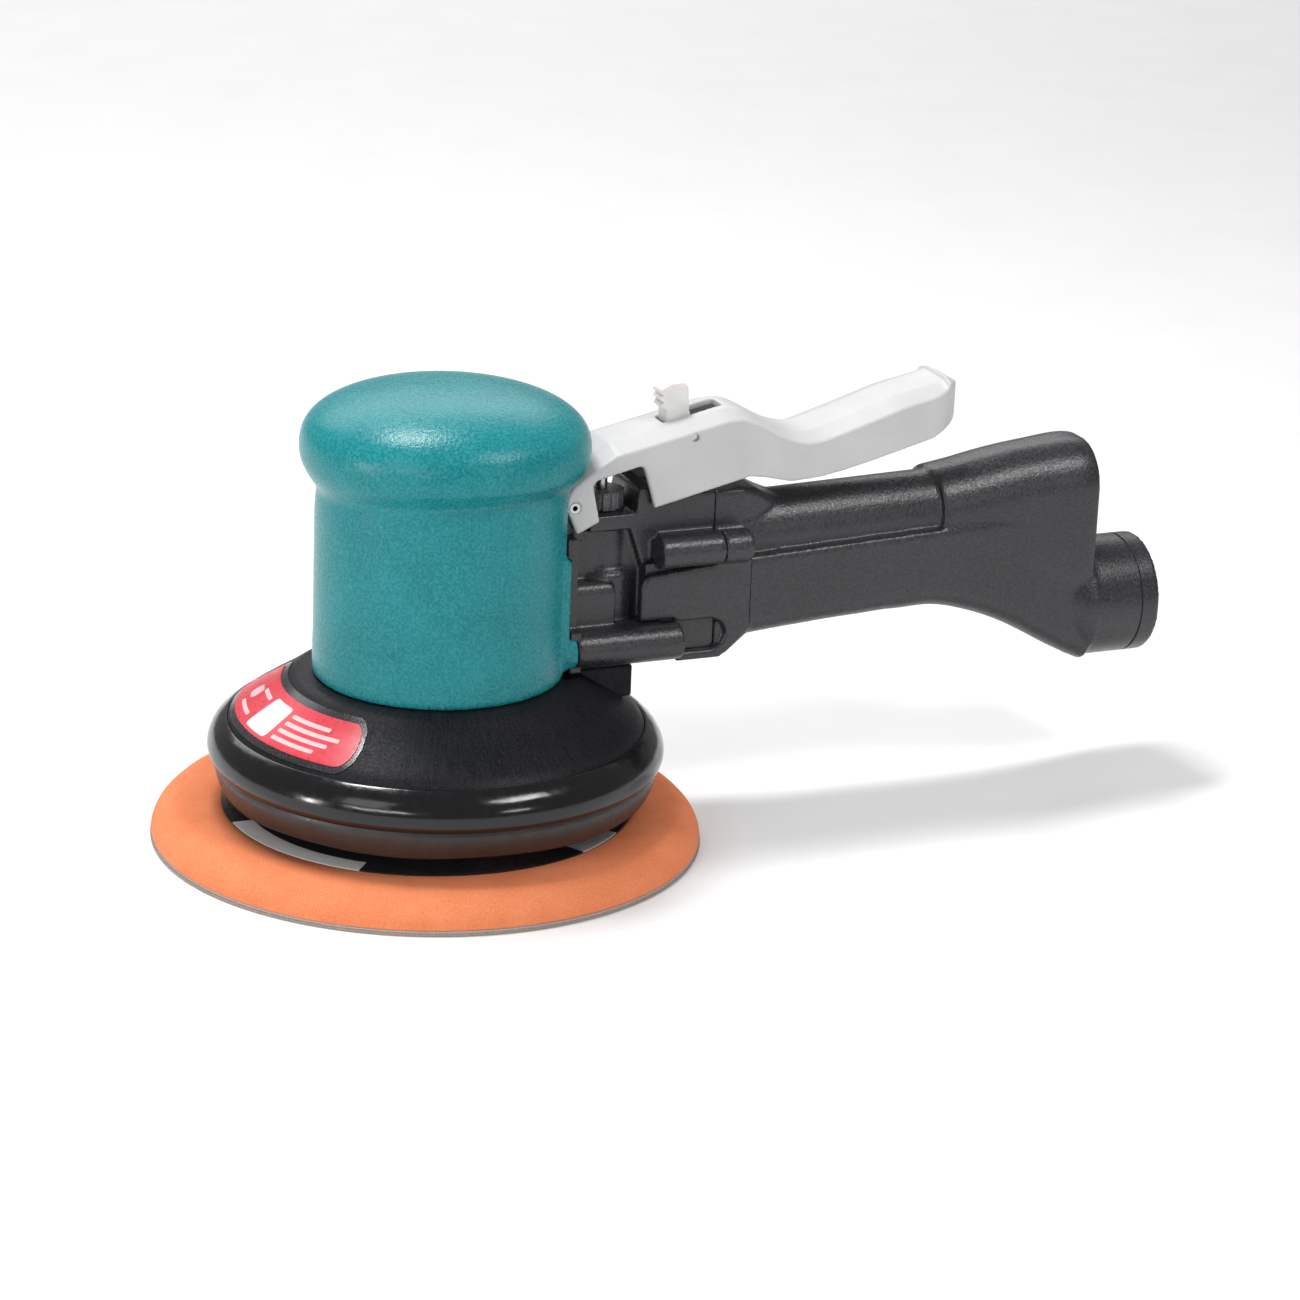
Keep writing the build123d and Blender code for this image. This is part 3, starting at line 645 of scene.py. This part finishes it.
ring = {"front": [(60.7, 22.3), (61.9, 22.9), (62.7, 24.3), (62.95, 26.2), (62.6, 28.3), (61.6, 30.4),
                  (60.1, 32.1), (58.6, 33.25), (57.9, 33.6), (57.5, 33.45), (57.45, 33.0)],
        "back": [(56.5, 32.6), (56.5, 22.3)]}


def makeGlossRing():
    piece = turnedPiece("glossRing", smoothLine(ring["front"], 4) + ring["back"], segments=192)
    finishPiece(piece, "tool_body", shades["gloss_black"], ["skirt_ring"], 50)


skirt = {"outer": [(60.6, 23.4), (60.9, 22.2), (61.1, 21.0), (60.8, 19.2), (60.2, 17.0), (59.4, 15.0),
                   (59.0, 14.45)],
         "inner": [(57.3, 14.45), (58.2, 19), (58.2, 23.4)],
         "waves": 7, "waveDepth": 0.45, "waveTurn": 0.6, "waveTop": 19, "waveReach": 4.6}


def makeDustSkirt():
    piece = turnedPiece("dustSkirt", smoothLine(skirt["outer"], 4) + skirt["inner"], segments=192)
    # the free edge of the rubber is a little wavy
    for point in piece.data.vertices:
        low = max(0.0, (skirt["waveTop"] - point.co.z / mm) / skirt["waveReach"])
        wave = (1 + sin(skirt["waves"] * atan2(point.co.y, point.co.x) + skirt["waveTurn"])) / 2
        point.co.z += skirt["waveDepth"] * mm * low * wave
    finishPiece(piece, "tool_body", shades["brown_rubber"], ["skirt_band"], 50)


def coneRadius(z):
    # the cone's outer radius at a height, in mm
    for (r0, z0), (r1, z1) in zip(cone["line"], cone["line"][1:]):
        if z <= z1:
            return r0 + (r1 - r0) * (z - z0) / (z1 - z0)
    return cone["line"][-1][0]


def makeLabel(name, margin, lift, shade, replaced=()):
    # a flat grid wrapped on the cone, its ends drawn in to round corners; margin and lift in mm
    deselectAll()
    halfLength = label["halfLength"] + margin
    halfHeight = label["halfHeight"] + margin
    corner = label["corner"] + margin
    bpy.ops.mesh.primitive_grid_add(x_subdivisions=150, y_subdivisions=14, size=2)
    piece = bpy.context.object
    piece.name = name
    for point in piece.data.vertices:
        u, v = point.co.x * halfLength, point.co.y
        past = max(0.0, abs(u) - halfLength + corner)
        v *= halfHeight - corner + (corner * corner - past * past + 1e-9) ** 0.5
        z = label["centreZ"] + v
        turn = radians(label["middle"]) + u / label["radius"]
        radius = coneRadius(z) + lift * 0.6
        point.co = (radius * cos(turn) * mm, radius * sin(turn) * mm, (z + lift * 0.8) * mm)
    pickOnly(piece)
    bpy.ops.object.mode_set(mode="EDIT")
    bpy.ops.mesh.select_all(action="SELECT")
    bpy.ops.mesh.normals_make_consistent(inside=False)
    bpy.ops.object.mode_set(mode="OBJECT")
    addModifier(piece, "SOLIDIFY", thickness=label["thickness"] * mm, offset=0)
    finishPiece(piece, "tool_body", shade, replaced, 40)


makeShroudCone()
makeGlossRing()
makeDustSkirt()
makeLabel("labelFilm", 1.3, 0.10, filmBlack)
makeLabel("redLabel", 0.0, 0.32, shades["red_label"], ["warning_label"])


# foam pad
pad = {"outer": [(75.7, 1.25), (76.0, 1.7), (75.7, 3.3), (74.8, 5.2), (73.3, 6.9), (71.6, 8.3), (69.6, 9.15),
                 (67.4, 9.35)],
       "recess": [(57.4, 9.35), (56.6, 8.9), (56.6, 6.45), (axisRadius, 6.45), (axisRadius, 1.25)]}


def makeFoamPad():
    piece = turnedPiece("foamPad", smoothLine(pad["outer"], 4) + pad["recess"], padX, 224)
    finishPiece(piece, "pad_assembly", shades["orange_foam"], ["pad_foam"], 50)


makeFoamPad()


# mouldings: valve body, handle and port
# the hose port has a groove behind its lip, and the handle a parting line on each side
port = {"z": 50.0, "radius": 17.3, "lip": 211.0, "grooveWidth": 0.7, "grooveDepth": 0.35}
parting = {"x": (87.0, 87.35), "y": (13.78, 16), "z": (50, 75.2)}


def makeValveMoulding():
    piece = copyOfNode("valve_body", "valveMoulding")
    softenMoulding(piece, 0.5, 3)
    finishPiece(piece, "tool_body", shades["black_moulding"], ["valve_body"], 60)


def makeHandleMoulding():
    piece = copyOfNode("handle_body", "handleMoulding")
    spigot = copyOfNode("hose_spigot", "spigotCopy")
    pickOnly(piece)
    spigot.select_set(True)
    bpy.ops.object.join()
    softenMoulding(piece, 0.62, 3)
    lip, radius, z = port["lip"], port["radius"], port["z"]
    groove = addRod(radius + 2, lip, lip + port["grooveWidth"], 0, z, 96)
    cutAway(groove, addRod(radius - port["grooveDepth"], lip - 1, lip + 2, 0, z, 96))
    cutAway(piece, groove)
    for side in (-1, 1):
        corners = list(zip(parting["x"], sorted(side * y for y in parting["y"]), parting["z"]))
        cutAway(piece, addBlock(*corners))
    finishPiece(piece, "tool_body", shades["black_moulding"],
                ["handle_body", "hose_spigot"], 60)


# ridge is (radius, height above the turn's start) points
thread = {"pitch": 1.41, "outer": 5.68, "start": 186.0, "turns": 8, "z": 82.0,
          "ridge": [(5.6, 0), (5.05, 0.5), (5.05, 0.7), (5.6, 1.2)]}


def makeInletThread():
    # the air inlet's thread, drawn as closed ridges
    outline = [(radius, i * thread["pitch"] + up) for i in range(thread["turns"])
               for radius, up in thread["ridge"]]
    top = thread["turns"] * thread["pitch"]
    piece = turnedPiece("inletThread", outline + [(thread["outer"], top), (thread["outer"], 0)], segments=64)
    moved = Matrix.Translation((thread["start"] * mm, 0, thread["z"] * mm))
    piece.data.transform(moved @ Matrix.Rotation(pi / 2, 4, "Y"))
    finishPiece(piece, "tool_body", shades["bronze"], (), 30)


makeValveMoulding()
makeHandleMoulding()
makeInletThread()


# throttle lever and lock-off tab
# radius, x and z of the pivot pin's hole and of the lock pin's
lever = {"holes": [(1.55, 34.2, 94.1), (1.1, 69.4, 111.2)], "reach": 20}


def makeLever():
    piece = copyOfNode("throttle_lever", "leverArm")
    softenMoulding(piece, 0.45, 7)
    for radius, x, z in lever["holes"]:
        hole = addRod(radius, -lever["reach"], lever["reach"], 0, 0)
        hole.data.transform(Matrix.Translation((x * mm, 0, z * mm)) @ Matrix.Rotation(pi / 2, 4, "Z"))
        cutAway(piece, hole)
    finishPiece(piece, "throttle_lever", shades["pale_lever"], ["throttle_lever"], 60)


def makeLockTab():
    piece = copyOfNode("lockoff_lever", "lockTab")
    softenMoulding(piece, 0.22, 3)
    finishPiece(piece, "lockoff", shades["clear_white"], ["lockoff_lever"], 60)


makeLever()
makeLockTab()


# floor
def makeFloor():
    deselectAll()
    bpy.ops.mesh.primitive_plane_add(size=8, location=(0, 0, cadBox[0].z - 0.0002))
    floor = bpy.context.object
    floor.name = "paleFloor"
    paint = plainGrainShade("floorPaint", colour(0.86, 0.86, 0.86), colour(0.88, 0.88, 0.88), 40, 0.8, 0.0)
    floor.data.materials.append(paint)


makeFloor()
